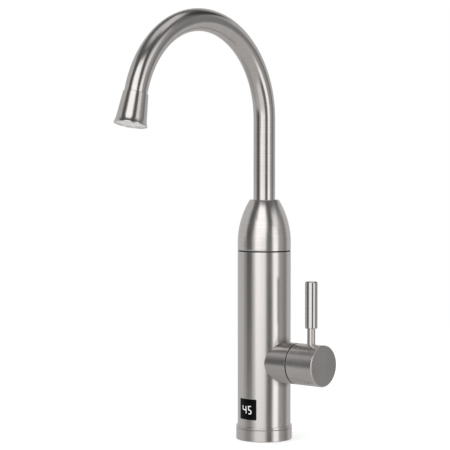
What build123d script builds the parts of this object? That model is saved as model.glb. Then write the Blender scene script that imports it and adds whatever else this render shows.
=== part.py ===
from build123d import *
import math
import os

os.makedirs("parts", exist_ok=True)

# An electric instant water heater tap, in millimetres. +Z is up, the display and the spout face -Y,
# the lever is on +X, and the origin is the centre of the foot's lower face.

# Clearances
push_fit = 0.05
running_fit = 0.08
disc_film = 0.05
air_gap = 0.3
overrun = 1.0

# Foot: base ring, gasket and trim ring
foot_lip = 1.4
base_ring_height = 12.0
base_ring_wall = 4.6
base_ring_edge = 0.6
gasket_thickness = 1.5
gasket_inset = 1.4
trim_ring_height = 2.2
shadow_gap_height = 0.4
shadow_gap_depth = 0.9

# Body shell: a straight tube with a round opening for the valve and a window for the display
body_r = 27.0
body_wall = 1.2
body_height = 176.7

# Display window and what stands behind it
window_half_angle = 22.7
window_height = 20.9
window_foot_above_trim = 7.8
window_corner_r = 1.0
window_thickness = 2.5
window_recess = 0.05
holder_wall = 1.2
holder_foot_thickness = 1.3
holder_depth = 6.6
holder_height = 25.0
display_board_size = 19.2
display_board_thickness = 1.2
digit_module_width = 15.0
digit_module_height = 10.0
digit_module_depth = 4.0
digit_module_above_board_centre = 2.0

# Base block: carries the whole tap on its shank
block_shoulder_height = 8.0
shank_thread_r = 15.7
shank_socket_depth = 11.0
inlet_thread_r = 4.5
inlet_thread_depth = 6.5
riser_x = -7.0
water_way_r = 3.0
strainer_thickness = 1.0

# Cable gland
gland_x = 8.5
gland_r = 5.0
gland_bore_r = 3.4
gland_hex_r = 6.2
gland_head_height = 3.0
gland_nut_height = 3.0

# Flow sensor: a turbine on an axle, in a square housing on the riser
sensor_width = 15.0
sensor_height = 28.0
sensor_bore_r = 5.0
sensor_floor_thickness = 3.0
sensor_cap_height = 6.0
sensor_cap_plug_depth = 2.0
sensor_bridge_width = 2.4
swirl_height = 3.0
swirl_hub_r = 1.8
swirl_arm_thickness = 1.0
swirl_arms = 3
axle_r = 0.8
turbine_hub_r = 1.8
turbine_height = 10.0
turbine_blades = 4
turbine_blade_thickness = 0.9
turbine_blade_tilt = 35.0
turbine_tip_gap = 0.35
turbine_end_play = 0.3
hall_width = 6.0
hall_thickness = 2.4
hall_height = 12.0

# Valve: its axis is level, along X, and a ceramic cartridge sits in the barrel
valve_z = 79.6
manifold_half_height = 14.0
manifold_back_x = -16.0
manifold_front_x = 1.0
manifold_half_width = 13.0
manifold_edge_r = 3.0
spigot_length = 5.0
boss_r = 6.6
port_offset = 6.0
barrel_r = 19.0
barrel_wall = 1.5
sleeve_r = 20.75
sleeve_end_x = 43.1
cartridge_wall = 2.2
cartridge_shell_length = 22.0
cartridge_neck_r = 11.6
cartridge_neck_length = 10.0
port_seal_thickness = 1.5
fixed_disc_thickness = 4.5
moving_disc_thickness = 4.0
disc_gap_r = 0.2
disc_pocket_depth = 2.5
disc_pocket_width = 6.4
tongue_width = 6.0
tongue_depth = 1.2
spindle_flange_thickness = 4.0
spindle_r = 6.0
spindle_square = 8.0
spindle_end_x = 64.0
spindle_seal_thickness = 2.0
spindle_seal_depth = 1.2
spindle_seal_from_wall = 3.0
cartridge_nut_length = 6.0
cartridge_nut_hex_gap = 0.5

# Knob and lever
slip_ring_inset = 0.85
slip_ring_thickness = 1.3
slip_ring_width = 5.5
knob_gap = 0.1
knob_r = 20.75
knob_length = 31.9
knob_wall = 1.9
knob_face_wall = 3.0
knob_edge = 0.7
knob_hub_r = 8.0
knob_hub_setback = 2.0
lever_x = 60.6
lever_boss_r = 6.5
stem_r = 4.1
stem_length = 16.0
stem_seat_depth = 1.0
stem_thread_r = 3.0
stem_thread_length = 8.5
stem_pin_length = 10.0
grip_r = 6.25
grip_length = 46.7
grip_top_edge = 0.9
grip_foot_edge = 0.5
grub_screw_r = 2.0
grub_screw_length = 4.5
grub_screw_x = 55.0
grub_socket_r = 1.15
grub_socket_depth = 2.2

# Heater tank
tank_foot_above_barrel = 9.4
tank_air_gap = 3.2
tank_wall = 1.2
tank_floor_thickness = 1.5
lid_height = 6.4
lid_spigot_height = 4.0
outlet_way_r = 6.4
outlet_seal_width = 2.0
outlet_seal_thickness = 1.5
element_r = 2.5
element_leg_x = 3.0
element_leg_from_tank = 8.6
element_back_from_tank = 9.6
element_back_y = 7.0
element_top_below_lid = 8.0
element_floor_clearance = 9.0
element_tail = 6.0
element_nut_r = 4.6
element_nut_height = 3.0
cutout_from_tank = 11.1
cutout_r = 6.2
cutout_height = 5.5
probe_r = 1.5
probe_depth = 6.0
probe_flange_r = 4.0
probe_flange_thickness = 1.6
probe_below_lid = 14.0

# Swivel post: closes the body and carries the spout
flange_thickness = 6.5
post_r = 9.5
post_length = 31.0
post_bore_r = 6.4
post_seal_depth = 1.3
post_seal_height = 2.4
post_seal_below_top = 8.0
screw_groove_depth = 1.1
screw_groove_height = 5.4
flange_screw_count = 3
flange_screw_from_wall = 7.8
flange_screw_r = 1.5
flange_screw_length = 9.0
flange_screw_head_r = 2.8
flange_screw_head_height = 2.0
flange_screw_socket_r = 1.3

# Spout: slip ring, ogive cap, connector, gooseneck and aerator
swivel_ring_inset = 0.8
swivel_ring_width = 3.8
swivel_ring_thickness = 1.1
swivel_gap = 0.1
cap_skirt_height = 7.4
cap_height = 50.9
cap_top_r = 14.7
cap_top_edge = 0.5
cap_wall = 2.0
cap_top_wall = 3.0
cap_inside_height_shares = (0.15, 0.94)
ogive_steps = 6
connector_r = 13.0
connector_lift = 1.6
fixing_screw_above_post_foot = 13.1
fixing_screw_r = 2.45
fixing_screw_socket_r = 1.4
fixing_screw_socket_depth = 3.0
fixing_screw_recess = 0.6
tube_r = 11.0
tube_wall = 1.0
tube_socket_depth = 14.0
bend_z = 324.0
bend_r = 95.3
bend_angle = 166.2
tube_nose_length = 8.0
aerator_length = 30.5
aerator_top_r = 12.0
aerator_waist_r = 13.4
aerator_mouth_r = 16.1
aerator_flare_steps = 4
aerator_lip_edge = 0.4
aerator_mouth_wall = 1.3
aerator_seat_depth = 17.0
insert_r = 12.4
insert_flange_thickness = 2.2
insert_face_recess = 1.2
insert_rim_width = 1.4
insert_dish_depth = 0.6
insert_boss_r = 3.2
jet_r = 0.7
jet_counts = (8, 14)
jet_ring_shares = (0.44, 0.72)
aerator_seal_thickness = 1.6

# Electronics on an upright board behind the riser
board_y = 13.0
board_thickness = 1.6
board_edge_gap = 1.8
board_height = 34.0
board_above_block = 2.0
rail_width = 34.0
rail_depth = 5.0
rail_height = 5.0
relay_width = 14.0
relay_depth = 6.8
relay_height = 15.0
relay_x = -6.2
relay_above_rail = 1.0
transformer_width = 13.0
transformer_depth = 6.5
transformer_height = 11.0
transformer_x = 7.8
capacitor_r = 2.5
capacitor_length = 8.0
capacitor_spacing = 6.0
capacitor_x = 13.0
capacitor_above_rail = 4.0
terminal_width = 24.0
terminal_depth = 7.0
terminal_height = 6.5

# Places that follow from the sizes above
body_bore_r = body_r - body_wall
foot_r = body_r + foot_lip
base_ring_bore_r = foot_r - base_ring_wall
gasket_r = foot_r - gasket_inset
trim_ring_top_z = base_ring_height + trim_ring_height
body_top_z = trim_ring_top_z + body_height
block_top_z = base_ring_height + block_shoulder_height
window_foot_z = trim_ring_top_z + window_foot_above_trim
window_mid_z = window_foot_z + window_height / 2
window_width = 2 * body_r * math.sin(math.radians(window_half_angle))
window_face_r = body_r - window_recess
window_back_r = window_face_r - window_thickness
sensor_top_z = block_top_z + sensor_height
sensor_cap_top_z = sensor_top_z + sensor_cap_height
barrel_bore_r = barrel_r - barrel_wall
sleeve_bore_r = barrel_r + air_gap
spigot_end_x = manifold_front_x + spigot_length
fixed_disc_x = spigot_end_x + port_seal_thickness
moving_disc_x = fixed_disc_x + fixed_disc_thickness + disc_film
spindle_x = moving_disc_x + moving_disc_thickness
cartridge_r = barrel_bore_r - push_fit
cartridge_bore_r = cartridge_r - cartridge_wall
cartridge_bore_end_x = spindle_x + spindle_flange_thickness + air_gap
cartridge_shell_end_x = spigot_end_x + cartridge_shell_length
cartridge_neck_end_x = cartridge_shell_end_x + cartridge_neck_length
disc_r = cartridge_bore_r - disc_gap_r
knob_start_x = sleeve_end_x + slip_ring_thickness + knob_gap
knob_end_x = knob_start_x + knob_length
knob_hub_x = knob_start_x + knob_hub_setback
knob_top_z = valve_z + knob_r
stem_seat_z = knob_top_z - stem_seat_depth
grip_foot_z = knob_top_z + stem_length
grip_top_z = grip_foot_z + grip_length
tank_foot_z = valve_z + barrel_r + tank_foot_above_barrel
tank_r = body_bore_r - tank_air_gap
element_leg_y = tank_r - element_leg_from_tank
element_back_x = element_back_from_tank - tank_r
cutout_x = tank_r - cutout_from_tank
flange_screw_pitch_r = body_bore_r - flange_screw_from_wall
swivel_ring_r = body_r - swivel_ring_inset
swivel_ring_bore_r = swivel_ring_r - swivel_ring_width
lid_top_z = body_top_z - flange_thickness
tank_top_z = lid_top_z - lid_height
tank_height = tank_top_z - tank_foot_z
post_top_z = body_top_z + post_length
fixing_screw_z = body_top_z + fixing_screw_above_post_foot
cap_foot_z = body_top_z + swivel_ring_thickness + swivel_gap
cap_top_z = cap_foot_z + cap_height
cap_shoulder_z = cap_foot_z + cap_skirt_height
connector_top_z = cap_top_z - cap_top_wall
tube_foot_z = cap_top_z - tube_socket_depth
board_foot_z = block_top_z + board_above_block
board_width = 2 * math.sqrt((body_bore_r - board_edge_gap) ** 2 - (board_y + board_thickness) ** 2)
rail_top_z = block_top_z + rail_height

# The ogive is one arc, tangent to the straight skirt, that ends at the cap's top edge. It is turned in
# steps whose chords lie within 0.1 mm of the arc.
ogive_height = cap_top_z - cap_shoulder_z
ogive_inset = body_r - cap_top_r
ogive_r = (ogive_inset**2 + ogive_height**2) / (2 * ogive_inset)


def cap_radius(z):
    """Outer radius of the cap at a height."""
    rise = max(z - cap_shoulder_z, 0)
    return body_r - ogive_r + math.sqrt(ogive_r**2 - rise**2)


# The gooseneck's end, and the way the water leaves it
bend_turn = math.radians(bend_angle)
spout_end = (0, -bend_r * (1 - math.cos(bend_turn)), bend_z + bend_r * math.sin(bend_turn))
outlet_way = (0, -math.sin(bend_turn), math.cos(bend_turn))

# Planes and axes that several pieces share
valve_plane = Plane(origin=(0, 0, valve_z), x_dir=(0, 1, 0), z_dir=(1, 0, 0))
outlet_plane = Plane(origin=spout_end, x_dir=(1, 0, 0), z_dir=outlet_way)
outlet_section = Plane(origin=spout_end, x_dir=(1, 0, 0), z_dir=(0, -outlet_way[2], outlet_way[1]))
outlet_axis = Axis(spout_end, outlet_way)

# Base ring, with a recess for the gasket
with BuildPart() as base_ring:
    with BuildSketch():
        Circle(foot_r)
        Circle(base_ring_bore_r, mode=Mode.SUBTRACT)
    extrude(amount=base_ring_height)
    outer_edges = base_ring.edges().filter_by(GeomType.CIRCLE).sort_by(SortBy.RADIUS)[-2:]
    chamfer(outer_edges, length=base_ring_edge)
    with BuildSketch():
        Circle(gasket_r)
    extrude(amount=gasket_thickness, mode=Mode.SUBTRACT)
base_ring.part.label = "base_ring"
export_step(base_ring.part, "parts/base_ring.step")

# Base gasket, pressed flush into the recess
with BuildPart() as base_gasket:
    with BuildSketch():
        Circle(gasket_r)
        Circle(base_ring_bore_r, mode=Mode.SUBTRACT)
    extrude(amount=gasket_thickness)
base_gasket.part.label = "base_gasket"
export_step(base_gasket.part, "parts/base_gasket.step")

# Trim ring: a step under it makes the shadow gap
with BuildPart() as trim_ring:
    with BuildSketch(Plane.XY.offset(base_ring_height)):
        Circle(foot_r - shadow_gap_depth)
        Circle(body_bore_r, mode=Mode.SUBTRACT)
    extrude(amount=trim_ring_height)
    with BuildSketch(Plane.XY.offset(base_ring_height + shadow_gap_height)):
        Circle(foot_r)
        Circle(body_bore_r, mode=Mode.SUBTRACT)
    extrude(amount=trim_ring_height - shadow_gap_height)
trim_ring.part.label = "trim_ring"
export_step(trim_ring.part, "parts/trim_ring.step")

# Body shell
with BuildPart() as body_shell:
    with BuildSketch(Plane.XY.offset(trim_ring_top_z)):
        Circle(body_r)
        Circle(body_bore_r, mode=Mode.SUBTRACT)
    extrude(amount=body_height)
    with BuildSketch(valve_plane):
        Circle(sleeve_bore_r)
    extrude(amount=body_r + overrun, mode=Mode.SUBTRACT)
    with BuildSketch(Plane.XZ):
        with Locations((0, window_mid_z)):
            RectangleRounded(window_width, window_height, window_corner_r)
    extrude(amount=body_r + overrun, mode=Mode.SUBTRACT)
body_shell.part.label = "body_shell"
export_step(body_shell.part, "parts/body_shell.step")

# Valve sleeve: the stub, its foot cut to the body's curve where it is welded on
with BuildPart() as valve_sleeve:
    with BuildSketch(valve_plane):
        Circle(sleeve_r)
        Circle(sleeve_bore_r, mode=Mode.SUBTRACT)
    extrude(amount=sleeve_end_x)
    with BuildSketch(Plane.XY.offset(valve_z)):
        Circle(body_r)
    extrude(amount=sleeve_r + overrun, both=True, mode=Mode.SUBTRACT)
valve_sleeve.part.label = "valve_sleeve"
export_step(valve_sleeve.part, "parts/valve_sleeve.step")

# Display window: a curved pane set in the body's opening
with BuildPart() as display_window:
    with BuildSketch(Plane.XZ):
        with Locations((0, window_mid_z)):
            RectangleRounded(
                window_width - 2 * push_fit, window_height - 2 * push_fit, window_corner_r - push_fit
            )
    extrude(amount=body_r)
    with BuildSketch(Plane.XY.offset(window_foot_z)):
        Circle(window_face_r)
        Circle(window_back_r, mode=Mode.SUBTRACT)
    extrude(amount=window_height, mode=Mode.INTERSECT)
display_window.part.label = "display_window"
export_step(display_window.part, "parts/display_window.step")

# Base block: spigot in the base ring, shoulder threaded into the body
with BuildPart() as base_block:
    with BuildSketch():
        Circle(base_ring_bore_r - push_fit)
    extrude(amount=base_ring_height)
    with BuildSketch(Plane.XY.offset(base_ring_height)):
        Circle(body_bore_r - push_fit)
    extrude(amount=block_shoulder_height)
    with BuildSketch():
        Circle(shank_thread_r)
    extrude(amount=shank_socket_depth, mode=Mode.SUBTRACT)
    with BuildSketch(Plane.XY.offset(shank_socket_depth)):
        with Locations((riser_x, 0)):
            Circle(inlet_thread_r)
    extrude(amount=inlet_thread_depth, mode=Mode.SUBTRACT)
    with BuildSketch(Plane.XY.offset(shank_socket_depth)):
        with Locations((gland_x, 0)):
            Circle(gland_hex_r + push_fit)
    extrude(amount=gland_head_height, mode=Mode.SUBTRACT)
    with BuildSketch(Plane.XY.offset(shank_socket_depth)):
        with Locations((riser_x, 0)):
            Circle(water_way_r)
        with Locations((gland_x, 0)):
            Circle(gland_r + push_fit)
    extrude(amount=block_top_z - shank_socket_depth, mode=Mode.SUBTRACT)
base_block.part.label = "base_block"
export_step(base_block.part, "parts/base_block.step")

# Inlet strainer, in the water way above the inlet thread
with BuildPart() as inlet_strainer:
    with BuildSketch(Plane.XY.offset(shank_socket_depth + inlet_thread_depth)):
        with Locations((riser_x, 0)):
            Circle(water_way_r - push_fit)
    extrude(amount=strainer_thickness)
inlet_strainer.part.label = "inlet_strainer"
export_step(inlet_strainer.part, "parts/inlet_strainer.step")

# Cable gland: hexagon head sunk in the socket's roof, stem through the block
with BuildPart() as cable_gland:
    with BuildSketch(Plane.XY.offset(shank_socket_depth)):
        with Locations((gland_x, 0)):
            RegularPolygon(gland_hex_r, 6)
    extrude(amount=gland_head_height)
    with BuildSketch(Plane.XY.offset(shank_socket_depth)):
        with Locations((gland_x, 0)):
            Circle(gland_r)
    extrude(amount=block_top_z + gland_nut_height - shank_socket_depth)
    with BuildSketch(Plane.XY.offset(shank_socket_depth)):
        with Locations((gland_x, 0)):
            Circle(gland_bore_r)
    extrude(amount=block_top_z + gland_nut_height - shank_socket_depth, mode=Mode.SUBTRACT)
cable_gland.part.label = "cable_gland"
export_step(cable_gland.part, "parts/cable_gland.step")

# Gland nut, on top of the block
with BuildPart() as gland_nut:
    with BuildSketch(Plane.XY.offset(block_top_z)):
        with Locations((gland_x, 0)):
            RegularPolygon(gland_hex_r, 6)
            Circle(gland_r + push_fit, mode=Mode.SUBTRACT)
    extrude(amount=gland_nut_height)
gland_nut.part.label = "gland_nut"
export_step(gland_nut.part, "parts/gland_nut.step")

# Flow sensor housing
with BuildPart() as sensor_housing:
    with BuildSketch(Plane.XY.offset(block_top_z)):
        with Locations((riser_x, 0)):
            Rectangle(sensor_width, sensor_width)
            Circle(water_way_r, mode=Mode.SUBTRACT)
    extrude(amount=sensor_height)
    with BuildSketch(Plane.XY.offset(block_top_z + sensor_floor_thickness)):
        with Locations((riser_x, 0)):
            Circle(sensor_bore_r)
    extrude(amount=sensor_height - sensor_floor_thickness, mode=Mode.SUBTRACT)
sensor_housing.part.label = "sensor_housing"
export_step(sensor_housing.part, "parts/sensor_housing.step")

# Sensor cap: a plug, with a bridge across its water way that holds the axle's top
axle_foot_z = block_top_z + sensor_floor_thickness
axle_top_z = sensor_top_z
with BuildPart() as sensor_cap:
    with BuildSketch(Plane.XY.offset(sensor_top_z - sensor_cap_plug_depth)):
        with Locations((riser_x, 0)):
            Circle(sensor_bore_r - push_fit)
    extrude(amount=sensor_cap_plug_depth)
    with BuildSketch(Plane.XY.offset(sensor_top_z)):
        with Locations((riser_x, 0)):
            Rectangle(sensor_width, sensor_width)
    extrude(amount=sensor_cap_height)
    with BuildSketch(Plane.XY.offset(sensor_top_z - sensor_cap_plug_depth)):
        with Locations((riser_x, 0)):
            Circle(water_way_r)
    extrude(amount=sensor_cap_plug_depth + sensor_cap_height, mode=Mode.SUBTRACT)
    with BuildSketch(Plane.XY.offset(sensor_top_z - sensor_cap_plug_depth)):
        with Locations((riser_x, 0)):
            Rectangle(sensor_bore_r + water_way_r, sensor_bridge_width)
    extrude(amount=sensor_cap_plug_depth)
    with BuildSketch(Plane.XY.offset(sensor_top_z - sensor_cap_plug_depth)):
        with Locations((riser_x, 0)):
            Circle(axle_r + push_fit)
    extrude(amount=sensor_cap_plug_depth, mode=Mode.SUBTRACT)
sensor_cap.part.label = "sensor_cap"
export_step(sensor_cap.part, "parts/sensor_cap.step")

# Swirl vane: a fixed spider that turns the water and holds the axle's foot
with BuildPart() as swirl_vane:
    with BuildSketch(Plane.XY.offset(axle_foot_z)):
        with Locations((riser_x, 0)):
            Circle(swirl_hub_r)
            with PolarLocations(sensor_bore_r / 2, swirl_arms):
                Rectangle(sensor_bore_r, swirl_arm_thickness)
    extrude(amount=swirl_height)
    with BuildSketch(Plane.XY.offset(axle_foot_z)):
        with Locations((riser_x, 0)):
            Circle(sensor_bore_r - push_fit)
    extrude(amount=swirl_height, mode=Mode.INTERSECT)
    with BuildSketch(Plane.XY.offset(axle_foot_z)):
        with Locations((riser_x, 0)):
            Circle(axle_r + push_fit)
    extrude(amount=swirl_height, mode=Mode.SUBTRACT)
swirl_vane.part.label = "swirl_vane"
export_step(swirl_vane.part, "parts/swirl_vane.step")

# Turbine axle
with BuildPart() as turbine_axle:
    with BuildSketch(Plane.XY.offset(axle_foot_z)):
        with Locations((riser_x, 0)):
            Circle(axle_r)
    extrude(amount=axle_top_z - axle_foot_z)
turbine_axle.part.label = "turbine_axle"
export_step(turbine_axle.part, "parts/turbine_axle.step")

# Flow turbine: tilted blades round a hub
turbine_foot_z = axle_foot_z + swirl_height + turbine_end_play
turbine_tip_r = sensor_bore_r - turbine_tip_gap
with BuildPart() as flow_turbine:
    with BuildSketch(Plane.XY.offset(turbine_foot_z)):
        with Locations((riser_x, 0)):
            Circle(turbine_hub_r)
    extrude(amount=turbine_height)
    for blade in range(turbine_blades):
        turn = 2 * math.pi * blade / turbine_blades
        blade_plane = Plane(
            origin=(riser_x, 0, turbine_foot_z + turbine_height / 2),
            x_dir=(0, 0, 1),
            z_dir=(math.cos(turn), math.sin(turn), 0),
        )
        with BuildSketch(blade_plane):
            Rectangle(turbine_height, turbine_blade_thickness, rotation=turbine_blade_tilt)
        extrude(amount=turbine_tip_r)
    with BuildSketch(Plane.XY.offset(turbine_foot_z)):
        with Locations((riser_x, 0)):
            Circle(turbine_tip_r)
            Circle(axle_r + running_fit, mode=Mode.SUBTRACT)
    extrude(amount=turbine_height, mode=Mode.INTERSECT)
flow_turbine.part.label = "flow_turbine"
export_step(flow_turbine.part, "parts/flow_turbine.step")

# Hall sensor, on the housing's side beside the turbine
with BuildPart() as hall_sensor:
    with BuildSketch(Plane.XY.offset(turbine_foot_z)):
        with Locations((riser_x, sensor_width / 2 + hall_thickness / 2)):
            Rectangle(hall_width, hall_thickness)
    extrude(amount=hall_height)
hall_sensor.part.label = "hall_sensor"
export_step(hall_sensor.part, "parts/hall_sensor.step")

# Valve manifold: the riser's bosses, a block and a spigot with the two water ways
with BuildPart() as valve_manifold:
    with BuildSketch(Plane.XY.offset(valve_z - manifold_half_height)):
        with Locations(((manifold_back_x + manifold_front_x) / 2, 0)):
            RectangleRounded(
                manifold_front_x - manifold_back_x, 2 * manifold_half_width, manifold_edge_r
            )
    extrude(amount=2 * manifold_half_height)
    with BuildSketch(valve_plane.offset(manifold_front_x)):
        Circle(barrel_bore_r - push_fit)
    extrude(amount=spigot_length)
    with BuildSketch(Plane.XY.offset(sensor_cap_top_z)):
        with Locations((riser_x, 0)):
            Circle(boss_r)
    extrude(amount=tank_foot_z - sensor_cap_top_z)
    with BuildSketch(Plane.XY.offset(sensor_cap_top_z)):
        with Locations((riser_x, 0)):
            Circle(water_way_r)
    extrude(amount=valve_z - port_offset - sensor_cap_top_z, mode=Mode.SUBTRACT)
    with BuildSketch(Plane.XY.offset(valve_z + port_offset)):
        with Locations((riser_x, 0)):
            Circle(water_way_r)
    extrude(amount=tank_foot_z - valve_z - port_offset, mode=Mode.SUBTRACT)
    with BuildSketch(valve_plane.offset(riser_x)):
        with Locations((0, port_offset), (0, -port_offset)):
            Circle(water_way_r)
    extrude(amount=spigot_end_x - riser_x, mode=Mode.SUBTRACT)
valve_manifold.part.label = "valve_manifold"
export_step(valve_manifold.part, "parts/valve_manifold.step")

# Valve barrel: screwed onto the spigot through the sleeve
with BuildPart() as valve_barrel:
    with BuildSketch(valve_plane.offset(manifold_front_x)):
        Circle(barrel_r)
        Circle(barrel_bore_r, mode=Mode.SUBTRACT)
    extrude(amount=sleeve_end_x - manifold_front_x)
valve_barrel.part.label = "valve_barrel"
export_step(valve_barrel.part, "parts/valve_barrel.step")

# Port seal: a rubber plate round the two water ways
with BuildPart() as port_seal:
    with BuildSketch(valve_plane.offset(spigot_end_x)):
        SlotCenterToCenter(2 * port_offset, 4 * water_way_r, rotation=90)
        with Locations((0, port_offset), (0, -port_offset)):
            Circle(water_way_r, mode=Mode.SUBTRACT)
    extrude(amount=port_seal_thickness)
port_seal.part.label = "port_seal"
export_step(port_seal.part, "parts/port_seal.step")

# Fixed ceramic disc, with two ports
with BuildPart() as fixed_disc:
    with BuildSketch(valve_plane.offset(fixed_disc_x)):
        Circle(disc_r)
        with Locations((0, port_offset), (0, -port_offset)):
            Circle(water_way_r, mode=Mode.SUBTRACT)
    extrude(amount=fixed_disc_thickness)
fixed_disc.part.label = "fixed_disc"
export_step(fixed_disc.part, "parts/fixed_disc.step")

# Moving ceramic disc: its pocket lies across the ports when shut and joins them after a quarter turn
with BuildPart() as moving_disc:
    with BuildSketch(valve_plane.offset(moving_disc_x)):
        Circle(disc_r)
    extrude(amount=moving_disc_thickness)
    with BuildSketch(valve_plane.offset(moving_disc_x)):
        SlotCenterToCenter(2 * port_offset, disc_pocket_width)
    extrude(amount=disc_pocket_depth, mode=Mode.SUBTRACT)
    with BuildSketch(valve_plane.offset(spindle_x - tongue_depth)):
        Rectangle(2 * disc_r + overrun, tongue_width)
    extrude(amount=tongue_depth, mode=Mode.SUBTRACT)
moving_disc.part.label = "moving_disc"
export_step(moving_disc.part, "parts/moving_disc.step")

# Spindle: tongue in the moving disc, flange, round neck and square end
seal_foot_x = cartridge_bore_end_x + spindle_seal_from_wall
with BuildPart() as spindle:
    with BuildSketch(valve_plane.offset(spindle_x)):
        Circle(disc_r)
    extrude(amount=spindle_flange_thickness)
    with BuildSketch(valve_plane.offset(spindle_x - tongue_depth)):
        Rectangle(2 * disc_r, tongue_width - 2 * push_fit)
    extrude(amount=tongue_depth)
    with BuildSketch(valve_plane.offset(spindle_x + spindle_flange_thickness)):
        Circle(spindle_r)
    extrude(amount=cartridge_neck_end_x - spindle_x - spindle_flange_thickness)
    with BuildSketch(valve_plane.offset(cartridge_neck_end_x)):
        Rectangle(spindle_square, spindle_square)
    extrude(amount=spindle_end_x - cartridge_neck_end_x)
    with BuildSketch(valve_plane.offset(seal_foot_x)):
        Circle(spindle_r)
        Circle(spindle_r - spindle_seal_depth, mode=Mode.SUBTRACT)
    extrude(amount=spindle_seal_thickness, mode=Mode.SUBTRACT)
    with BuildSketch(valve_plane.offset(spindle_x - tongue_depth)):
        Circle(disc_r)
    extrude(amount=spindle_end_x - spindle_x + tongue_depth, mode=Mode.INTERSECT)
spindle.part.label = "spindle"
export_step(spindle.part, "parts/spindle.step")

# Spindle seal, in the spindle's groove
with BuildPart() as spindle_seal:
    with BuildSketch(valve_plane.offset(seal_foot_x)):
        Circle(spindle_r + running_fit / 2)
        Circle(spindle_r - spindle_seal_depth, mode=Mode.SUBTRACT)
    extrude(amount=spindle_seal_thickness)
spindle_seal.part.label = "spindle_seal"
export_step(spindle_seal.part, "parts/spindle_seal.step")

# Cartridge body: a cup round the discs and a neck round the spindle
with BuildPart() as cartridge_body:
    with BuildSketch(valve_plane.offset(spigot_end_x)):
        Circle(cartridge_r)
    extrude(amount=cartridge_shell_length)
    with BuildSketch(valve_plane.offset(cartridge_shell_end_x)):
        Circle(cartridge_neck_r)
    extrude(amount=cartridge_neck_length)
    with BuildSketch(valve_plane.offset(spigot_end_x)):
        Circle(cartridge_bore_r)
    extrude(amount=cartridge_bore_end_x - spigot_end_x, mode=Mode.SUBTRACT)
    with BuildSketch(valve_plane.offset(cartridge_bore_end_x)):
        Circle(spindle_r + running_fit)
    extrude(amount=cartridge_neck_end_x - cartridge_bore_end_x, mode=Mode.SUBTRACT)
cartridge_body.part.label = "cartridge_body"
export_step(cartridge_body.part, "parts/cartridge_body.step")

# Cartridge nut: threaded into the barrel, with a hexagon hole for the key
with BuildPart() as cartridge_nut:
    with BuildSketch(valve_plane.offset(cartridge_shell_end_x)):
        Circle(cartridge_r)
        RegularPolygon(
            cartridge_neck_r + cartridge_nut_hex_gap, 6, major_radius=False, mode=Mode.SUBTRACT
        )
    extrude(amount=cartridge_nut_length)
cartridge_nut.part.label = "cartridge_nut"
export_step(cartridge_nut.part, "parts/cartridge_nut.step")

# Knob slip ring: flat on the ends of the sleeve and the barrel
with BuildPart() as knob_slip_ring:
    with BuildSketch(valve_plane.offset(sleeve_end_x)):
        Circle(sleeve_r - slip_ring_inset)
        Circle(sleeve_r - slip_ring_inset - slip_ring_width, mode=Mode.SUBTRACT)
    extrude(amount=slip_ring_thickness)
knob_slip_ring.part.label = "knob_slip_ring"
export_step(knob_slip_ring.part, "parts/knob_slip_ring.step")

# Knob: a hollow drum with a hub on the spindle and a boss for the lever
with BuildPart() as knob:
    with BuildSketch(valve_plane.offset(knob_start_x)):
        Circle(knob_r)
        Circle(knob_r - knob_wall, mode=Mode.SUBTRACT)
    extrude(amount=knob_length)
    with BuildSketch(valve_plane.offset(knob_end_x - knob_face_wall)):
        Circle(knob_r)
    extrude(amount=knob_face_wall)
    with BuildSketch(valve_plane.offset(knob_hub_x)):
        Circle(knob_hub_r)
    extrude(amount=knob_end_x - knob_hub_x)
    with BuildSketch(Plane.XY.offset(valve_z)):
        with Locations((lever_x, 0)):
            Circle(lever_boss_r)
    extrude(amount=knob_r - knob_wall / 2)
    with BuildSketch(valve_plane.offset(knob_hub_x)):
        Rectangle(spindle_square + 2 * push_fit, spindle_square + 2 * push_fit)
    extrude(amount=spindle_end_x + air_gap - knob_hub_x, mode=Mode.SUBTRACT)
    with BuildSketch(Plane.XY.offset(stem_seat_z)):
        with Locations((lever_x, 0)):
            Circle(stem_r + push_fit)
    extrude(amount=stem_seat_depth + overrun, mode=Mode.SUBTRACT)
    with BuildSketch(Plane.XY.offset(stem_seat_z - stem_thread_length)):
        with Locations((lever_x, 0)):
            Circle(stem_thread_r + push_fit)
    extrude(amount=stem_thread_length, mode=Mode.SUBTRACT)
    with BuildSketch(Plane.XY.offset(valve_z - knob_r - overrun)):
        with Locations((grub_screw_x, 0)):
            Circle(grub_screw_r + push_fit)
    extrude(amount=knob_r + overrun - spindle_square / 2, mode=Mode.SUBTRACT)
    face_edge = knob.edges().filter_by(GeomType.CIRCLE).group_by(Axis.X)[-1].sort_by(SortBy.RADIUS)[-1]
    chamfer(face_edge, length=knob_edge)
knob.part.label = "knob"
export_step(knob.part, "parts/knob.step")

# Knob grub screw: through the hub from below, onto the spindle's flat
with BuildPart() as knob_grub_screw:
    with BuildSketch(Plane.XY.offset(valve_z - spindle_square / 2 - grub_screw_length)):
        with Locations((grub_screw_x, 0)):
            Circle(grub_screw_r)
    extrude(amount=grub_screw_length)
    with BuildSketch(Plane.XY.offset(valve_z - spindle_square / 2 - grub_screw_length)):
        with Locations((grub_screw_x, 0)):
            RegularPolygon(grub_socket_r, 6)
    extrude(amount=grub_socket_depth, mode=Mode.SUBTRACT)
knob_grub_screw.part.label = "knob_grub_screw"
export_step(knob_grub_screw.part, "parts/knob_grub_screw.step")

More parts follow.
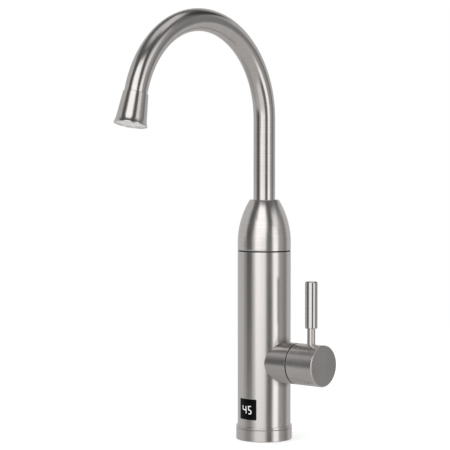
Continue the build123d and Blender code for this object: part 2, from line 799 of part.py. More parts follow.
# Lever stem: a thread in the knob, the neck that shows, and a pin in the grip
with BuildPart() as lever_stem:
    with BuildSketch(Plane.XY.offset(stem_seat_z - stem_thread_length)):
        with Locations((lever_x, 0)):
            Circle(stem_thread_r)
    extrude(amount=grip_foot_z + stem_pin_length - stem_seat_z + stem_thread_length)
    with BuildSketch(Plane.XY.offset(stem_seat_z)):
        with Locations((lever_x, 0)):
            Circle(stem_r)
    extrude(amount=grip_foot_z - stem_seat_z)
lever_stem.part.label = "lever_stem"
export_step(lever_stem.part, "parts/lever_stem.step")

# Lever grip
with BuildPart() as lever_grip:
    with BuildSketch(Plane.XY.offset(grip_foot_z)):
        with Locations((lever_x, 0)):
            Circle(grip_r)
    extrude(amount=grip_length)
    chamfer(lever_grip.faces().sort_by(Axis.Z)[-1].edges(), length=grip_top_edge)
    chamfer(lever_grip.faces().sort_by(Axis.Z)[0].edges(), length=grip_foot_edge)
    with BuildSketch(Plane.XY.offset(grip_foot_z)):
        with Locations((lever_x, 0)):
            Circle(stem_thread_r + push_fit)
    extrude(amount=stem_pin_length, mode=Mode.SUBTRACT)
lever_grip.part.label = "lever_grip"
export_step(lever_grip.part, "parts/lever_grip.step")

# Heater tank: a cup on the manifold's upper boss
element_places = ((element_leg_x, element_leg_y), (element_leg_x, -element_leg_y))
probe_z = tank_top_z - probe_below_lid
with BuildPart() as heater_tank:
    with BuildSketch(Plane.XY.offset(tank_foot_z)):
        Circle(tank_r)
    extrude(amount=tank_height)
    with BuildSketch(Plane.XY.offset(tank_foot_z + tank_floor_thickness)):
        Circle(tank_r - tank_wall)
    extrude(amount=tank_height - tank_floor_thickness, mode=Mode.SUBTRACT)
    with BuildSketch(Plane.XY.offset(tank_foot_z)):
        with Locations((riser_x, 0)):
            Circle(water_way_r)
        with Locations(*element_places):
            Circle(element_r + push_fit)
    extrude(amount=tank_floor_thickness, mode=Mode.SUBTRACT)
    with BuildSketch(Plane.XZ):
        with Locations((0, probe_z)):
            Circle(probe_r + push_fit)
    extrude(amount=-tank_r - overrun, mode=Mode.SUBTRACT)
heater_tank.part.label = "heater_tank"
export_step(heater_tank.part, "parts/heater_tank.step")

# Tank lid: a spigot in the tank, and a seat for the outlet seal
with BuildPart() as tank_lid:
    with BuildSketch(Plane.XY.offset(tank_top_z - lid_spigot_height)):
        Circle(tank_r - tank_wall - push_fit)
    extrude(amount=lid_spigot_height)
    with BuildSketch(Plane.XY.offset(tank_top_z)):
        Circle(tank_r)
    extrude(amount=lid_height)
    with BuildSketch(Plane.XY.offset(tank_top_z - lid_spigot_height)):
        Circle(outlet_way_r)
    extrude(amount=lid_spigot_height + lid_height, mode=Mode.SUBTRACT)
    with BuildSketch(Plane.XY.offset(lid_top_z - outlet_seal_thickness)):
        Circle(outlet_way_r + outlet_seal_width)
    extrude(amount=outlet_seal_thickness, mode=Mode.SUBTRACT)
    with BuildSketch(Plane.XY.offset(body_top_z - flange_screw_length)):
        with PolarLocations(flange_screw_pitch_r, flange_screw_count):
            Circle(flange_screw_r + push_fit)
    extrude(amount=flange_screw_length, mode=Mode.SUBTRACT)
tank_lid.part.label = "tank_lid"
export_step(tank_lid.part, "parts/tank_lid.step")

# Outlet seal, pressed between the lid and the swivel post
with BuildPart() as outlet_seal:
    with BuildSketch(Plane.XY.offset(lid_top_z - outlet_seal_thickness)):
        Circle(outlet_way_r + outlet_seal_width - push_fit)
        Circle(outlet_way_r, mode=Mode.SUBTRACT)
    extrude(amount=outlet_seal_thickness)
outlet_seal.part.label = "outlet_seal"
export_step(outlet_seal.part, "parts/outlet_seal.step")

# Heating element: one sheathed rod, up and down the tank in four legs
element_foot_z = tank_foot_z - element_tail
element_top_z = tank_top_z - lid_spigot_height - element_top_below_lid
element_low_z = tank_foot_z + tank_floor_thickness + element_floor_clearance
with BuildLine() as element_path:
    Polyline(
        (element_leg_x, element_leg_y, element_foot_z),
        (element_leg_x, element_leg_y, element_top_z),
        (element_back_x, element_back_y, element_top_z),
        (element_back_x, element_back_y, element_low_z),
        (element_back_x, -element_back_y, element_low_z),
        (element_back_x, -element_back_y, element_top_z),
        (element_leg_x, -element_leg_y, element_top_z),
        (element_leg_x, -element_leg_y, element_foot_z),
    )
with BuildPart() as heating_element:
    with BuildSketch(Plane(origin=(element_leg_x, element_leg_y, element_foot_z))):
        Circle(element_r)
    sweep(path=element_path.wires()[0], transition=Transition.RIGHT)
heating_element.part.label = "heating_element"
export_step(heating_element.part, "parts/heating_element.step")

# Element nuts, under the tank's floor
with BuildPart() as element_nuts:
    with BuildSketch(Plane.XY.offset(tank_foot_z - element_nut_height)):
        with Locations(*element_places):
            RegularPolygon(element_nut_r, 6)
            Circle(element_r + push_fit, mode=Mode.SUBTRACT)
    extrude(amount=element_nut_height)
element_nuts.part.label = "element_nuts"
export_step(element_nuts.part, "parts/element_nuts.step")

# Thermal cutout, flat on the tank's floor from below
with BuildPart() as thermal_cutout:
    with BuildSketch(Plane.XY.offset(tank_foot_z - cutout_height)):
        with Locations((cutout_x, 0)):
            RegularPolygon(cutout_r, 8)
    extrude(amount=cutout_height)
thermal_cutout.part.label = "thermal_cutout"
export_step(thermal_cutout.part, "parts/thermal_cutout.step")

# Outlet probe: a temperature sensor through the tank's back wall
with BuildPart() as outlet_probe:
    with BuildSketch(Plane.XZ.offset(probe_depth - tank_r)):
        with Locations((0, probe_z)):
            Circle(probe_r)
    extrude(amount=-probe_depth)
    with BuildSketch(Plane.XZ.offset(-tank_r)):
        with Locations((0, probe_z)):
            RegularPolygon(probe_flange_r, 6)
    extrude(amount=-probe_flange_thickness)
outlet_probe.part.label = "outlet_probe"
export_step(outlet_probe.part, "parts/outlet_probe.step")

# Swivel post: a flange that closes the body, and the post that the spout turns on
seal_groove_z = post_top_z - post_seal_below_top - post_seal_height
with BuildPart() as swivel_post:
    with BuildSketch(Plane.XY.offset(lid_top_z)):
        Circle(body_bore_r - push_fit)
    extrude(amount=flange_thickness)
    with BuildSketch(Plane.XY.offset(body_top_z)):
        Circle(post_r)
    extrude(amount=post_length)
    with BuildSketch(Plane.XY.offset(lid_top_z)):
        Circle(post_bore_r)
    extrude(amount=flange_thickness + post_length, mode=Mode.SUBTRACT)
    with BuildSketch(Plane.XY.offset(seal_groove_z)):
        Circle(post_r)
        Circle(post_r - post_seal_depth, mode=Mode.SUBTRACT)
    extrude(amount=post_seal_height, mode=Mode.SUBTRACT)
    with BuildSketch(Plane.XY.offset(fixing_screw_z - screw_groove_height / 2)):
        Circle(post_r)
        Circle(post_r - screw_groove_depth, mode=Mode.SUBTRACT)
    extrude(amount=screw_groove_height, mode=Mode.SUBTRACT)
    with Locations(Plane.XY.offset(body_top_z)):
        with PolarLocations(flange_screw_pitch_r, flange_screw_count):
            CounterBoreHole(
                flange_screw_r + push_fit,
                flange_screw_head_r + push_fit,
                flange_screw_head_height,
                flange_thickness,
            )
swivel_post.part.label = "swivel_post"
export_step(swivel_post.part, "parts/swivel_post.step")

# Post seal, in the post's upper groove
with BuildPart() as post_seal:
    with BuildSketch(Plane.XY.offset(seal_groove_z)):
        Circle(post_r + running_fit / 2)
        Circle(post_r - post_seal_depth, mode=Mode.SUBTRACT)
    extrude(amount=post_seal_height)
post_seal.part.label = "post_seal"
export_step(post_seal.part, "parts/post_seal.step")

# Flange screws: hold the post down on the tank's lid
with BuildPart() as flange_screws:
    with BuildSketch(Plane.XY.offset(body_top_z - flange_screw_head_height)):
        with PolarLocations(flange_screw_pitch_r, flange_screw_count):
            Circle(flange_screw_head_r)
    extrude(amount=flange_screw_head_height)
    with BuildSketch(Plane.XY.offset(body_top_z - flange_screw_length)):
        with PolarLocations(flange_screw_pitch_r, flange_screw_count):
            Circle(flange_screw_r)
    extrude(amount=flange_screw_length - flange_screw_head_height)
    with BuildSketch(Plane.XY.offset(body_top_z - flange_screw_head_height / 2)):
        with PolarLocations(flange_screw_pitch_r, flange_screw_count):
            RegularPolygon(flange_screw_socket_r, 6)
    extrude(amount=flange_screw_head_height / 2, mode=Mode.SUBTRACT)
flange_screws.part.label = "flange_screws"
export_step(flange_screws.part, "parts/flange_screws.step")

# Swivel slip ring: the dark line between the body and the cap
with BuildPart() as swivel_slip_ring:
    with BuildSketch(Plane.XY.offset(body_top_z)):
        Circle(swivel_ring_r)
        Circle(swivel_ring_bore_r, mode=Mode.SUBTRACT)
    extrude(amount=swivel_ring_thickness)
swivel_slip_ring.part.label = "swivel_slip_ring"
export_step(swivel_slip_ring.part, "parts/swivel_slip_ring.step")

# Spout cap: a turned ogive, hollow, with a straight skirt
inside_points = []
for share in cap_inside_height_shares:
    inside_z = cap_foot_z + share * (connector_top_z - cap_foot_z)
    inside_points.append((cap_radius(inside_z) - cap_wall, inside_z))
ogive_points = []
for step in range(ogive_steps + 1):
    outside_z = cap_shoulder_z + ogive_height * step / ogive_steps
    ogive_points.append((cap_radius(outside_z), outside_z))
with BuildPart() as spout_cap:
    with BuildSketch(Plane.XZ):
        with BuildLine():
            Polyline(
                (body_r, cap_foot_z),
                *ogive_points,
                (tube_r + push_fit, cap_top_z),
                (tube_r + push_fit, connector_top_z),
                (connector_r + air_gap, connector_top_z),
                *reversed(inside_points),
                (inside_points[0][0], cap_foot_z),
                (body_r, cap_foot_z),
            )
        make_face()
    revolve(axis=Axis.Z)
    top_edge = spout_cap.edges().filter_by(GeomType.CIRCLE).group_by(Axis.Z)[-1].sort_by(SortBy.RADIUS)[-1]
    chamfer(top_edge, length=cap_top_edge)
    with BuildSketch(Plane.XZ):
        with Locations((0, fixing_screw_z)):
            Circle(fixing_screw_r + push_fit)
    extrude(amount=-body_r - overrun, mode=Mode.SUBTRACT)
spout_cap.part.label = "spout_cap"
export_step(spout_cap.part, "parts/spout_cap.step")

# Spout connector: turns on the post, and holds the tube's foot
connector_foot_z = body_top_z + connector_lift
with BuildPart() as spout_connector:
    with BuildSketch(Plane.XY.offset(connector_foot_z)):
        Circle(connector_r)
        Circle(post_bore_r, mode=Mode.SUBTRACT)
    extrude(amount=connector_top_z - connector_foot_z)
    with BuildSketch(Plane.XY.offset(connector_foot_z)):
        Circle(post_r + running_fit)
    extrude(amount=post_top_z + air_gap - connector_foot_z, mode=Mode.SUBTRACT)
    with BuildSketch(Plane.XY.offset(tube_foot_z)):
        Circle(tube_r + push_fit)
    extrude(amount=connector_top_z - tube_foot_z, mode=Mode.SUBTRACT)
    with BuildSketch(Plane.XZ):
        with Locations((0, fixing_screw_z)):
            Circle(fixing_screw_r + push_fit)
    extrude(amount=-body_r, mode=Mode.SUBTRACT)
spout_connector.part.label = "spout_connector"
export_step(spout_connector.part, "parts/spout_connector.step")

# Fixing screw: from behind, through cap and connector, its tip in the post's lower groove
fixing_screw_tip_y = post_r - screw_groove_depth + air_gap
fixing_screw_end_y = cap_radius(fixing_screw_z) - fixing_screw_recess
with BuildPart() as fixing_screw:
    with BuildSketch(Plane.XZ.offset(-fixing_screw_tip_y)):
        with Locations((0, fixing_screw_z)):
            Circle(fixing_screw_r)
    extrude(amount=fixing_screw_tip_y - fixing_screw_end_y)
    with BuildSketch(Plane.XZ.offset(-fixing_screw_end_y)):
        with Locations((0, fixing_screw_z)):
            RegularPolygon(fixing_screw_socket_r, 6)
    extrude(amount=fixing_screw_socket_depth, mode=Mode.SUBTRACT)
fixing_screw.part.label = "fixing_screw"
export_step(fixing_screw.part, "parts/fixing_screw.step")

# Spout tube: a straight rise, one wide bend and a short nose inside the aerator
with BuildLine(Plane.YZ) as spout_path:
    Line((0, tube_foot_z), (0, bend_z))
    JernArc((0, bend_z), (0, 1), bend_r, bend_angle)
    Line(
        (spout_end[1], spout_end[2]),
        (
            spout_end[1] + tube_nose_length * outlet_way[1],
            spout_end[2] + tube_nose_length * outlet_way[2],
        ),
    )
with BuildPart() as spout_tube:
    with BuildSketch(Plane.XY.offset(tube_foot_z)):
        Circle(tube_r)
        Circle(tube_r - tube_wall, mode=Mode.SUBTRACT)
    sweep(path=spout_path.wires()[0])
spout_tube.part.label = "spout_tube"
export_step(spout_tube.part, "parts/spout_tube.step")

# Aerator housing: flares from the tube's end to the mouth. The flare is one arc through three radii, turned
# in steps whose chords lie within 0.06 mm of it.
flare_depth = aerator_length - aerator_lip_edge
flare_sagitta = (aerator_top_r + aerator_mouth_r) / 2 - aerator_waist_r
flange_foot_depth = aerator_length - insert_face_recess - insert_flange_thickness
flange_r = aerator_mouth_r - aerator_mouth_wall - push_fit
flare_points = []
for step in range(aerator_flare_steps + 1):
    share = step / aerator_flare_steps
    straight_r = aerator_top_r + share * (aerator_mouth_r - aerator_top_r)
    flare_points.append((straight_r - 4 * share * (1 - share) * flare_sagitta, share * flare_depth))
with BuildPart() as aerator_housing:
    with BuildSketch(outlet_section):
        with BuildLine():
            Polyline(
                *flare_points,
                (aerator_mouth_r - aerator_lip_edge, aerator_length),
                (flange_r + push_fit, aerator_length),
                (flange_r + push_fit, flange_foot_depth),
                (insert_r + push_fit, flange_foot_depth),
                (insert_r + push_fit, aerator_seat_depth),
                (tube_r - tube_wall, aerator_seat_depth),
                (tube_r - tube_wall, tube_nose_length),
                (tube_r + push_fit, tube_nose_length),
                (tube_r + push_fit, 0),
                (aerator_top_r, 0),
            )
        make_face()
    revolve(axis=outlet_axis)
aerator_housing.part.label = "aerator_housing"
export_step(aerator_housing.part, "parts/aerator_housing.step")

# Aerator seal, on the seat above the insert
with BuildPart() as aerator_seal:
    with BuildSketch(outlet_plane.offset(aerator_seat_depth)):
        Circle(insert_r)
        Circle(tube_r - tube_wall, mode=Mode.SUBTRACT)
    extrude(amount=aerator_seal_thickness)
aerator_seal.part.label = "aerator_seal"
export_step(aerator_seal.part, "parts/aerator_seal.step")

# Aerator insert: a flanged jet plate with two rings of jets round a boss, in a shallow dish
insert_foot_depth = aerator_seat_depth + aerator_seal_thickness
insert_face_depth = aerator_length - insert_face_recess
with BuildPart() as aerator_insert:
    with BuildSketch(outlet_plane.offset(insert_foot_depth)):
        Circle(insert_r)
    extrude(amount=insert_face_depth - insert_foot_depth)
    with BuildSketch(outlet_plane.offset(flange_foot_depth)):
        Circle(flange_r)
    extrude(amount=insert_flange_thickness)
    with BuildSketch(outlet_plane.offset(insert_face_depth - insert_dish_depth)):
        Circle(flange_r - insert_rim_width)
        Circle(insert_boss_r, mode=Mode.SUBTRACT)
    extrude(amount=insert_dish_depth, mode=Mode.SUBTRACT)
    with BuildSketch(outlet_plane.offset(insert_foot_depth)):
        for jet_count, ring_share in zip(jet_counts, jet_ring_shares):
            with PolarLocations(ring_share * flange_r, jet_count):
                RegularPolygon(jet_r, 8)
    extrude(amount=insert_face_depth - insert_foot_depth, mode=Mode.SUBTRACT)
aerator_insert.part.label = "aerator_insert"
export_step(aerator_insert.part, "parts/aerator_insert.step")

# Display holder: a channel on the block, behind the window
holder_back_y = -math.sqrt(window_back_r**2 - (window_width / 2) ** 2) + holder_depth
holder_half_width = window_width / 2 + holder_wall
with BuildPart() as display_holder:
    with BuildSketch(Plane.XY.offset(block_top_z)):
        with Locations((0, holder_back_y - holder_depth / 2)):
            Rectangle(2 * holder_half_width, holder_depth)
    extrude(amount=holder_height)
    with BuildSketch(Plane.XY.offset(block_top_z + holder_foot_thickness)):
        with Locations((0, holder_back_y - holder_wall - holder_depth / 2)):
            Rectangle(2 * (holder_half_width - holder_wall), holder_depth)
    extrude(amount=holder_height, mode=Mode.SUBTRACT)
display_holder.part.label = "display_holder"
export_step(display_holder.part, "parts/display_holder.step")

# Display board, against the holder's back wall
display_board_y = holder_back_y - holder_wall - display_board_thickness / 2
with BuildPart() as display_board:
    with BuildSketch(Plane.XY.offset(block_top_z + holder_foot_thickness)):
        with Locations((0, display_board_y)):
            Rectangle(display_board_size, display_board_thickness)
    extrude(amount=display_board_size)
display_board.part.label = "display_board"
export_step(display_board.part, "parts/display_board.step")

# Digit module: two digits, in front of the board
display_board_centre_z = block_top_z + holder_foot_thickness + display_board_size / 2
digit_module_z = display_board_centre_z + digit_module_above_board_centre
digit_module_y = display_board_y - display_board_thickness / 2 - digit_module_depth / 2
with BuildPart() as digit_module:
    with BuildSketch(Plane.XY.offset(digit_module_z - digit_module_height / 2)):
        with Locations((0, digit_module_y)):
            Rectangle(digit_module_width, digit_module_depth)
    extrude(amount=digit_module_height)
digit_module.part.label = "digit_module"
export_step(digit_module.part, "parts/digit_module.step")

# Board rail: a foot with a slot that the control board stands in
with BuildPart() as board_rail:
    with BuildSketch(Plane.XY.offset(block_top_z)):
        with Locations((0, board_y + board_thickness / 2)):
            Rectangle(rail_width, rail_depth)
    extrude(amount=rail_height)
    with BuildSketch(Plane.XY.offset(board_foot_z)):
        with Locations((0, board_y + board_thickness / 2)):
            Rectangle(rail_width, board_thickness + 2 * push_fit)
    extrude(amount=rail_height, mode=Mode.SUBTRACT)
board_rail.part.label = "board_rail"
export_step(board_rail.part, "parts/board_rail.step")

# Control board
with BuildPart() as control_board:
    with BuildSketch(Plane.XY.offset(board_foot_z)):
        with Locations((0, board_y + board_thickness / 2)):
            Rectangle(board_width, board_thickness)
    extrude(amount=board_height)
control_board.part.label = "control_board"
export_step(control_board.part, "parts/control_board.step")

# Relay, on the board's back
board_back_y = board_y + board_thickness
with BuildPart() as relay:
    with BuildSketch(Plane.XY.offset(rail_top_z + relay_above_rail)):
        with Locations((relay_x, board_back_y + relay_depth / 2)):
            Rectangle(relay_width, relay_depth)
    extrude(amount=relay_height)
relay.part.label = "relay"
export_step(relay.part, "parts/relay.step")

# Transformer, beside the relay
with BuildPart() as transformer:
    with BuildSketch(Plane.XY.offset(rail_top_z + relay_above_rail)):
        with Locations((transformer_x, board_back_y + transformer_depth / 2)):
            Rectangle(transformer_width, transformer_depth)
    extrude(amount=transformer_height)
transformer.part.label = "transformer"
export_step(transformer.part, "parts/transformer.step")

# Capacitors, on the board's front
with BuildPart() as capacitors:
    with BuildSketch(Plane.XY.offset(rail_top_z + capacitor_above_rail)):
        with Locations(
            (capacitor_x, board_y - capacitor_r),
            (capacitor_x - capacitor_spacing, board_y - capacitor_r),
        ):
            Circle(capacitor_r)
    extrude(amount=capacitor_length)
capacitors.part.label = "capacitors"
export_step(capacitors.part, "parts/capacitors.step")

# Terminal block, at the board's top
with BuildPart() as terminal_block:
    with BuildSketch(Plane.XY.offset(board_foot_z + board_height - terminal_height)):
        with Locations((0, board_back_y + terminal_depth / 2)):
            Rectangle(terminal_width, terminal_depth)
    extrude(amount=terminal_height)
terminal_block.part.label = "terminal_block"
export_step(terminal_block.part, "parts/terminal_block.step")
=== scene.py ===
import math

import bmesh
import bpy
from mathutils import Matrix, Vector


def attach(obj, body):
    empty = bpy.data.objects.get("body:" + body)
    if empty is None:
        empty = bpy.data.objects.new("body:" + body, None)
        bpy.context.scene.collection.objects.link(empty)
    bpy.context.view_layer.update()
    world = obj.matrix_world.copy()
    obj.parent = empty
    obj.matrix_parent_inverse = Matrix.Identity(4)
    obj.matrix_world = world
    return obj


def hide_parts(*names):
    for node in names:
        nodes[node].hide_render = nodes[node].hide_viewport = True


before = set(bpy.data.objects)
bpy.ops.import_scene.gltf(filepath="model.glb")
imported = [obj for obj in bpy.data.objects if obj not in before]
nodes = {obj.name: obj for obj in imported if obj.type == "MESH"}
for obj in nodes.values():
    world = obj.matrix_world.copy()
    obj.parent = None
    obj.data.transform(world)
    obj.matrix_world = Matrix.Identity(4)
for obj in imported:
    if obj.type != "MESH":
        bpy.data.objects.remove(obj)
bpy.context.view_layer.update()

# Places on the object, in metres
MM = 0.001
BEND_R = 0.0953
BEND_Y, BEND_Z = -BEND_R, 0.324
SPOUT_END = Vector((0, -0.18785, 0.34673))
OUTLET_WAY = Vector((0, -0.2385, -0.9711)).normalized()
X, Y, Z = (1, 0, 0), (0, 1, 0), (0, 0, 1)

# Blender's Mix node keeps its numbers and its colours in sockets of their own
MIX_FACTOR = 0
MIX_NUMBERS, MIX_NUMBER_OUT = (2, 3), 0
MIX_COLOURS, MIX_COLOUR_OUT = (6, 7), 2
# How many rays a bevel or an occlusion node casts
NODE_RAYS = 8


# Materials
def tree_of(name):
    """A new material, its node tree, and the principled shader that it shows"""
    mat = bpy.data.materials.new(name)
    mat.use_nodes = True
    tree = mat.node_tree
    tree.nodes.clear()
    out = tree.nodes.new("ShaderNodeOutputMaterial")
    shader = tree.nodes.new("ShaderNodeBsdfPrincipled")
    tree.links.new(shader.outputs[0], out.inputs[0])
    return mat, tree, shader


def math_node(tree, kind, a, b=None):
    node = tree.nodes.new("ShaderNodeMath")
    node.operation = kind
    for socket, value in zip(node.inputs, (a, b)):
        if value is None:
            continue
        if isinstance(value, (int, float)):
            socket.default_value = value
        else:
            tree.links.new(value, socket)
    return node.outputs[0]


def noise_node(tree, vector, scale, detail=3.0, rough=0.55):
    node = tree.nodes.new("ShaderNodeTexNoise")
    node.inputs["Scale"].default_value = scale
    node.inputs["Detail"].default_value = detail
    node.inputs["Roughness"].default_value = rough
    tree.links.new(vector, node.inputs["Vector"])
    return node.outputs["Fac"]


def map_range(tree, value, lo, hi, from_lo=0.3, from_hi=0.7):
    """lo to hi while the value goes from from_lo to from_hi, between which most noise lies"""
    node = tree.nodes.new("ShaderNodeMapRange")
    tree.links.new(value, node.inputs["Value"])
    node.inputs["From Min"].default_value = from_lo
    node.inputs["From Max"].default_value = from_hi
    node.inputs["To Min"].default_value = lo
    node.inputs["To Max"].default_value = hi
    return node.outputs[0]


def mix_colours(tree, factor, a, b):
    node = tree.nodes.new("ShaderNodeMix")
    node.data_type = "RGBA"
    tree.links.new(factor, node.inputs[MIX_FACTOR])
    for place, value in zip(MIX_COLOURS, (a, b)):
        if isinstance(value, tuple):
            node.inputs[place].default_value = (*value, 1)
        else:
            tree.links.new(value, node.inputs[place])
    return node.outputs[MIX_COLOUR_OUT]


def add_bump(tree, shader, heights, normal=None):
    """heights: (height socket, distance in metres, strength) from the coarse to the fine one"""
    for height, distance, strength in heights:
        bump = tree.nodes.new("ShaderNodeBump")
        bump.inputs["Distance"].default_value = distance
        bump.inputs["Strength"].default_value = strength
        tree.links.new(height, bump.inputs["Height"])
        if normal is not None:
            tree.links.new(normal, bump.inputs["Normal"])
        normal = bump.outputs[0]
    tree.links.new(normal, shader.inputs["Normal"])


def object_place(tree):
    return tree.nodes.new("ShaderNodeTexCoord").outputs["Object"]


def split_place(tree):
    """The place in the object, as three numbers"""
    split = tree.nodes.new("ShaderNodeSeparateXYZ")
    tree.links.new(object_place(tree), split.inputs[0])
    return split.outputs


def gooseneck_grain(tree, fine, coarse):
    """The spout tube's grain vector: it changes fast along the rise and the bend, and slowly across them"""
    x, y, z = split_place(tree)
    above = math_node(tree, "SUBTRACT", z, BEND_Z)
    back = math_node(tree, "SUBTRACT", y, BEND_Y)
    arc = math_node(tree, "MULTIPLY", math_node(tree, "ARCTAN2", above, back), BEND_R)
    straight = math_node(tree, "MINIMUM", above, 0.0)
    bent = math_node(tree, "MAXIMUM", arc, 0.0)
    run = math_node(tree, "ADD", straight, bent)
    pair = tree.nodes.new("ShaderNodeCombineXYZ")
    tree.links.new(above, pair.inputs[0])
    tree.links.new(back, pair.inputs[1])
    radius = tree.nodes.new("ShaderNodeVectorMath")
    radius.operation = "LENGTH"
    tree.links.new(pair.outputs[0], radius.inputs[0])
    grain = tree.nodes.new("ShaderNodeCombineXYZ")
    parts = ((x, coarse), (radius.outputs["Value"], coarse), (run, fine))
    for socket, (value, scale) in zip(grain.inputs, parts):
        tree.links.new(math_node(tree, "MULTIPLY", value, scale), socket)
    return grain.outputs[0]


def grain_vector(tree, along, fine, coarse):
    """A vector that changes fast along one direction and slowly across it, so that noise makes brush lines"""
    if along == "gooseneck":
        return gooseneck_grain(tree, fine, coarse)
    upright = tree.nodes.new("ShaderNodeMapping")
    upright.inputs["Rotation"].default_value = Vector(along).rotation_difference(Vector(Z)).to_euler()
    tree.links.new(object_place(tree), upright.inputs[0])
    stretched = tree.nodes.new("ShaderNodeMapping")
    stretched.inputs["Scale"].default_value = (coarse, coarse, fine)
    tree.links.new(upright.outputs[0], stretched.inputs[0])
    return stretched.outputs[0]


def edge_wear(tree):
    """1 on worn convex edges, 0 elsewhere"""
    worn_from, worn_full = 0.53, 0.62
    geometry = tree.nodes.new("ShaderNodeNewGeometry")
    return map_range(tree, geometry.outputs["Pointiness"], 0, 1, worn_from, worn_full)


def painted_shade(tree, colour, distance, darkest, clear):
    """The colour, darkened by painted shade in narrow gaps and inner corners, as far as an occlusion node
    finds them closed in.

    distance: how far the walls of a gap shade it, in metres
    darkest: the share of the colour that is left deep in a gap
    clear: how open a place is, from 0 to 1, where the colour is whole
    """
    fade = 0.45
    # Painted shade: the occlusion node darkens the colour where nearby surfaces close it in
    node = tree.nodes.new("ShaderNodeAmbientOcclusion")
    node.samples = NODE_RAYS
    node.inputs["Distance"].default_value = distance
    open_share = map_range(tree, node.outputs["AO"], darkest, 1, clear - fade, clear)
    both = tree.nodes.new("ShaderNodeVectorMath")
    both.operation = "SCALE"
    tree.links.new(colour, both.inputs[0])
    tree.links.new(open_share, both.inputs["Scale"])
    return both.outputs[0]


def softened(tree, radius):
    """The surface's normal, with its sharp edges slightly rounded"""
    node = tree.nodes.new("ShaderNodeBevel")
    node.samples = NODE_RAYS
    node.inputs["Radius"].default_value = radius
    return node.outputs[0]


def past_run(tree, run):
    """1 further than this run, in metres, past the spout's end, else 0"""
    fade = 0.0002
    node = tree.nodes.new("ShaderNodeVectorMath")
    node.operation = "DOT_PRODUCT"
    tree.links.new(object_place(tree), node.inputs[0])
    node.inputs[1].default_value = OUTLET_WAY
    far = run + SPOUT_END.dot(OUTLET_WAY)
    return map_range(tree, node.outputs["Value"], 0, 1, far - fade, far + fade)


# The lip's near-white tint is a painted highlight
STEEL_TINT, LIP_HIGHLIGHT_TINT = (0.685, 0.656, 0.637), (0.97, 0.95, 0.93)
# Shares of the tint in the dark streaks, in the light ones, and on worn edges
STREAK_DARK, STREAK_LIGHT, STEEL_WORN = 0.95, 1.04, 1.18
# The shade in the body's corner with the valve stub starts at the first height and is whole at the second
CORNER_FROM_Z, CORNER_FULL_Z = 0.03, 0.05


def satin_steel(
    name, along, rough, tangent=None, anisotropy=0.0, painted_brightness=1.0, gap=0.0005, edge=0.0004, corner=None,
    lip=None
):
    """Brushed steel.

    along: the axis that the brush lines run round, or "gooseneck"
    rough: the lowest and highest roughness
    tangent, anisotropy: the letter of the axis that it was turned round, and how far highlights stretch
    painted_brightness: its share of the steel's tint, set per part to paint in the light and shade that falls
    on it
    gap, edge: the reach of the painted shade in gaps and inner corners, and the rounding of edges, in metres
    corner: the reach in metres of the shade in the corner with the stub
    lip: the run in metres past the spout's end where the lip's painted highlight, a near-white tint, starts
    """
    mat, tree, shader = tree_of(name)
    # Painted light and shade: the same steel is made lighter or darker from part to part
    tint = tuple(painted_brightness * c for c in STEEL_TINT)
    lines = noise_node(tree, grain_vector(tree, along, fine=2600, coarse=30), scale=1.0, rough=0.6)
    streaks = noise_node(tree, grain_vector(tree, along, fine=1000, coarse=16), scale=1.0)
    patches = noise_node(tree, object_place(tree), scale=32, rough=0.5)
    dark = tuple(c * STREAK_DARK for c in tint)
    light = tuple(min(1, c * STREAK_LIGHT) for c in tint)
    worn = tuple(min(1, c * STEEL_WORN) for c in tint)
    colour = mix_colours(tree, map_range(tree, streaks, 0, 1), dark, light)
    colour = mix_colours(tree, edge_wear(tree), colour, worn)
    # Painted shade: narrow gaps and inner corners made darker
    colour = painted_shade(tree, colour, gap, darkest=0.25, clear=0.65)
    # Painted shade on the body round the valve stub, only above the display
    if corner:
        height = split_place(tree)[2]
        near_stub = map_range(tree, height, 0, 1, CORNER_FROM_Z, CORNER_FULL_Z)
        colour = mix_colours(tree, near_stub, colour, painted_shade(tree, colour, corner, darkest=0.3, clear=0.85))
    # Painted highlight: the nozzle's lip is made near white past this run
    if lip:
        colour = mix_colours(tree, past_run(tree, lip), colour, LIP_HIGHLIGHT_TINT)
    tree.links.new(colour, shader.inputs["Base Color"])
    uneven = math_node(tree, "MULTIPLY", math_node(tree, "ADD", lines, patches), 0.5)
    tree.links.new(map_range(tree, uneven, *rough), shader.inputs["Roughness"])
    shader.inputs["Metallic"].default_value = 1.0
    if tangent:
        shader.inputs["Anisotropic"].default_value = anisotropy
        direction = tree.nodes.new("ShaderNodeTangent")
        direction.direction_type = "RADIAL"
        direction.axis = tangent
        tree.links.new(direction.outputs[0], shader.inputs["Tangent"])
    add_bump(tree, shader, [(streaks, 0.00003, 0.04), (lines, 0.00002, 0.06)], softened(tree, edge))
    return mat


# The share of the fine texture's scale that wide patches have, and of the colour that worn edges have
WIDE_SHARE, PLAIN_WORN = 0.12, 1.2


def plain(name, colour, second, rough, grain, bump, depth, metallic=0.0, coat=0.0, mirror=0.5, wear=0.03):
    """A moulded, cast or machined surface: two tones, and a fine uneven texture.

    rough: the lowest and highest roughness
    grain: the scale of the fine texture, with wide patches of tone at a share of it
    bump, depth: the texture's strength, and its height in metres
    wear: how much lighter than the colour its worn edges are, beyond a share of it
    """
    mat, tree, shader = tree_of(name)
    place = object_place(tree)
    wide = noise_node(tree, place, grain * WIDE_SHARE)
    fine = noise_node(tree, place, grain, detail=4)
    tone = mix_colours(tree, map_range(tree, wide, 0, 1), colour, second)
    worn = tuple(min(1, c * PLAIN_WORN + wear) for c in colour)
    tree.links.new(mix_colours(tree, edge_wear(tree), tone, worn), shader.inputs["Base Color"])
    tree.links.new(map_range(tree, fine, *rough), shader.inputs["Roughness"])
    shader.inputs["Metallic"].default_value = metallic
    shader.inputs["Coat Weight"].default_value = coat
    shader.inputs["Specular IOR Level"].default_value = mirror
    add_bump(tree, shader, [(fine, depth, bump)])
    return mat


